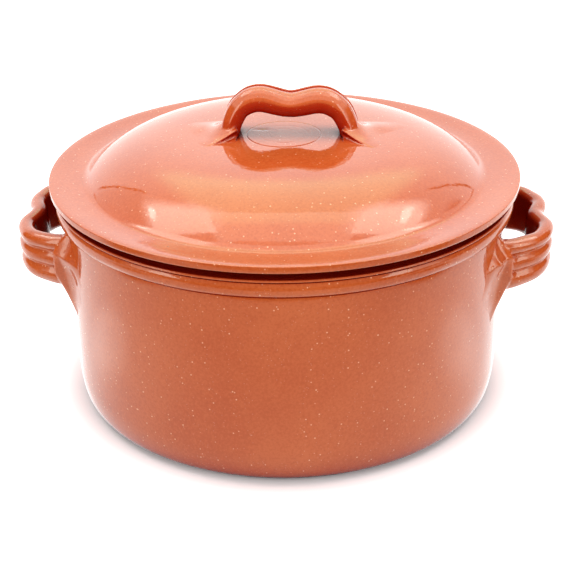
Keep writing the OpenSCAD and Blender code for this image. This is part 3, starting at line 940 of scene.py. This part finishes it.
def add_card(name, azimuth, elevation, away, wide, tall, glow, soft, tint=(1, 1, 1, 1)):
    """A studio card that only shows in the glaze, turned to the pot. Soft is the share of its half width and
    height over which its border fades."""
    bm = bmesh.new()
    bmesh.ops.create_grid(bm, x_segments=1, y_segments=1, size=0.5)
    bmesh.ops.scale(bm, verts=bm.verts[:], vec=(wide, tall, 1))
    mesh = bpy.data.meshes.new(name)
    bm.to_mesh(mesh)
    bm.free()
    card = bpy.data.objects.new(name, mesh)
    a, e = math.radians(azimuth), math.radians(elevation)
    way = Vector((math.sin(a) * math.cos(e), math.cos(a) * math.cos(e), math.sin(e)))
    card.location = Vector((0, 0, CARD_AIM)) + way * away
    card.rotation_euler = way.to_track_quat("Z", "Y").to_euler()
    bpy.context.scene.collection.objects.link(card)
    board = bpy.data.materials.new(name + "_board")
    board.use_nodes = True
    tree = board.node_tree
    tree.nodes.clear()
    clear = add_node(tree, "ShaderNodeBsdfTransparent").outputs[0]
    light = add_node(tree, "ShaderNodeEmission", {"Color": tint, "Strength": glow}).outputs[0]
    seen = add_node(tree, "ShaderNodeLightPath").outputs["Is Glossy Ray"]
    place = add_node(tree, "ShaderNodeTexCoord").outputs["Object"]
    off = add_node(tree, "ShaderNodeVectorMath", {0: place}, operation="ABSOLUTE").outputs[0]
    sides = add_node(tree, "ShaderNodeSeparateXYZ", {0: off}).outputs
    for side, half in ((sides[0], wide / 2), (sides[1], tall / 2)):
        border = add_node(tree, "ShaderNodeMapRange",
                          {"Value": side, "From Min": half, "From Max": half * (1 - soft)},
                          interpolation_type="SMOOTHSTEP").outputs[0]
        seen = add_node(tree, "ShaderNodeMath", {0: seen, 1: border}, operation="MULTIPLY").outputs[0]
    both = add_node(tree, "ShaderNodeMixShader", {0: seen, 1: clear, 2: light}).outputs[0]
    add_node(tree, "ShaderNodeOutputMaterial", {"Surface": both})
    mesh.materials.append(board)


def paper_floor():
    """Matt white paper. It keeps the pot's shadow, is as white as the backdrop away from it, and shows in the
    glaze brighter behind the pot than in front."""
    paper = bpy.data.materials.new("white_paper")
    paper.use_nodes = True
    tree = paper.node_tree
    tree.nodes.clear()
    rays = add_node(tree, "ShaderNodeLightPath").outputs
    place = add_node(tree, "ShaderNodeTexCoord").outputs["Object"]
    sides = add_node(tree, "ShaderNodeSeparateXYZ", {0: place}).outputs

    # White that only the camera sees
    away = add_node(tree, "ShaderNodeVectorMath", {0: place}, operation="LENGTH").outputs["Value"]
    white = add_node(tree, "ShaderNodeMapRange",
                     {"Value": away, "From Min": FADE[0], "From Max": FADE[1],
                      "To Min": FADE_GLOW[0], "To Max": FADE_GLOW[1]},
                     interpolation_type="SMOOTHSTEP").outputs[0]
    shown = add_node(tree, "ShaderNodeMath", {0: rays["Is Camera Ray"], 1: white},
                     operation="MULTIPLY").outputs[0]

    # Glow that only the glaze mirrors, with a dark and a bright spot to each side
    beyond = add_node(tree, "ShaderNodeMapRange",
                      {"Value": sides[1], "From Min": MIRRORED_FROM, "From Max": MIRRORED_TO}).outputs[0]
    beyond = add_node(tree, "ShaderNodeValToRGB", {0: beyond}, MIRRORED_STOPS).outputs[0]
    beyond = add_node(tree, "ShaderNodeMath", {0: beyond, 1: MIRRORED_GLOW}, operation="MULTIPLY").outputs[0]
    wide = add_node(tree, "ShaderNodeMath", {0: sides[0]}, operation="ABSOLUTE").outputs[0]
    flat = add_node(tree, "ShaderNodeCombineXYZ", {0: wide, 1: sides[1]}).outputs[0]
    for spot, radius, outside, inside, kind in MIRRORED_SPOTS:
        near = add_node(tree, "ShaderNodeVectorMath", {0: flat, 1: spot},
                        operation="DISTANCE").outputs["Value"]
        share = add_node(tree, "ShaderNodeMapRange",
                         {"Value": near, "From Min": radius, "From Max": 0.3 * radius,
                          "To Min": outside, "To Max": inside},
                         interpolation_type="SMOOTHSTEP").outputs[0]
        beyond = add_node(tree, "ShaderNodeMath", {0: beyond, 1: share}, operation=kind).outputs[0]
    mirrored = add_node(tree, "ShaderNodeMath", {0: rays["Is Glossy Ray"], 1: beyond},
                        operation="MULTIPLY").outputs[0]
    added = add_node(tree, "ShaderNodeMath", {0: shown, 1: mirrored}, operation="ADD").outputs[0]

    # Matt paper: what it bounces back onto the pot is dimmer than what the camera sees
    bounced = add_node(tree, "ShaderNodeMath", {0: rays["Is Diffuse Ray"], 1: FLOOR_BOUNCE},
                       operation="MULTIPLY").outputs[0]
    dim = add_node(tree, "ShaderNodeBsdfDiffuse", {"Color": bounced}).outputs[0]
    # The paper as the camera sees it, pink as painted red light bounced from the pot into its shadow
    bounce_pink = add_node(tree, "ShaderNodeBsdfDiffuse", {"Color": FLOOR_TINT}).outputs[0]
    matt = add_node(tree, "ShaderNodeMixShader", {0: rays["Is Camera Ray"], 1: dim, 2: bounce_pink}).outputs[0]
    glow = add_node(tree, "ShaderNodeEmission", {"Strength": added}).outputs[0]
    both = add_node(tree, "ShaderNodeAddShader", {0: matt, 1: glow}).outputs[0]
    add_node(tree, "ShaderNodeOutputMaterial", {"Surface": both})
    return paper


def studio_world():
    """White air: plain white for the camera, brighter in the glaze and dimmer on the clay."""
    world = bpy.data.worlds.new("studio")
    world.use_nodes = True
    tree = world.node_tree
    tree.nodes.clear()
    rays = add_node(tree, "ShaderNodeLightPath").outputs
    strength = add_node(tree, "ShaderNodeMath",
                        {0: rays["Is Glossy Ray"], 1: WORLD_MIRRORED - WORLD_LIGHT, 2: WORLD_LIGHT},
                        operation="MULTIPLY_ADD").outputs[0]
    strength = add_node(tree, "ShaderNodeMath", {0: rays["Is Camera Ray"], 1: strength},
                        operation="MAXIMUM").outputs[0]
    air = add_node(tree, "ShaderNodeBackground", {"Color": (1, 1, 1, 1), "Strength": strength}).outputs[0]
    add_node(tree, "ShaderNodeOutputWorld", {"Surface": air})
    return world


class CAZUELA_OT_stage(bpy.types.Operator):
    """Pale floor, soft studio light and the camera"""
    bl_idname = "cazuela.stage"
    bl_label = "Stage"

    def execute(self, context):
        scene = context.scene
        scene.view_settings.view_transform = "Standard"
        add_camera()
        bm = bmesh.new()
        bmesh.ops.create_grid(bm, x_segments=2, y_segments=2, size=FLOOR_HALF)
        mesh = bpy.data.meshes.new("floor")
        bm.to_mesh(mesh)
        bm.free()
        floor = bpy.data.objects.new("floor", mesh)
        floor.location.z = -FLOOR_DROP
        scene.collection.objects.link(floor)
        mesh.materials.append(paper_floor())
        scene.world = studio_world()
        for name, (place, aim, size_x, size_y, radiance) in SOFTBOXES.items():
            add_softbox(name, place, aim, size_x, size_y, radiance)
        add_card("overhead_panel", 0, 62, 1.1, 1.2, 1.35, 3.4, 0.4, tint=OVERHEAD_TINT)
        for name, card in CARDS.items():
            add_card(name, *card)
        return {"FINISHED"}


class CAZUELA_PT_panel(bpy.types.Panel):
    """Lists the cazuela's pieces"""
    bl_idname = "CAZUELA_PT_panel"
    bl_label = "Cazuela"
    bl_space_type = "VIEW_3D"
    bl_region_type = "UI"
    bl_category = "Cazuela"

    def draw(self, context):
        for operator in OPERATORS:
            self.layout.operator(operator.bl_idname)


GROUPS = {
    "cazuela_pot": CazuelaPotSizes,
    "cazuela_lid": CazuelaLidSizes,
    "cazuela_side": CazuelaSideSizes,
    "cazuela_grip": CazuelaGripSizes,
    "cazuela_finish": CazuelaFinish,
}
OPERATORS = (CAZUELA_OT_stage, CAZUELA_OT_pot, CAZUELA_OT_side_handles, CAZUELA_OT_lid, CAZUELA_OT_lid_handle)


def register():
    for kind in (*GROUPS.values(), *OPERATORS, CAZUELA_PT_panel):
        bpy.utils.register_class(kind)
    for name, kind in GROUPS.items():
        setattr(bpy.types.Scene, name, PointerProperty(type=kind))


def unregister():
    for name in GROUPS:
        delattr(bpy.types.Scene, name)
    for kind in (CAZUELA_PT_panel, *reversed(OPERATORS), *reversed(list(GROUPS.values()))):
        bpy.utils.unregister_class(kind)


def main():
    register()
    bpy.ops.cazuela.stage()
    bpy.ops.cazuela.pot()
    bpy.ops.cazuela.side_handles()
    bpy.ops.cazuela.lid()
    bpy.ops.cazuela.lid_handle()


if __name__ == "__main__":
    main()
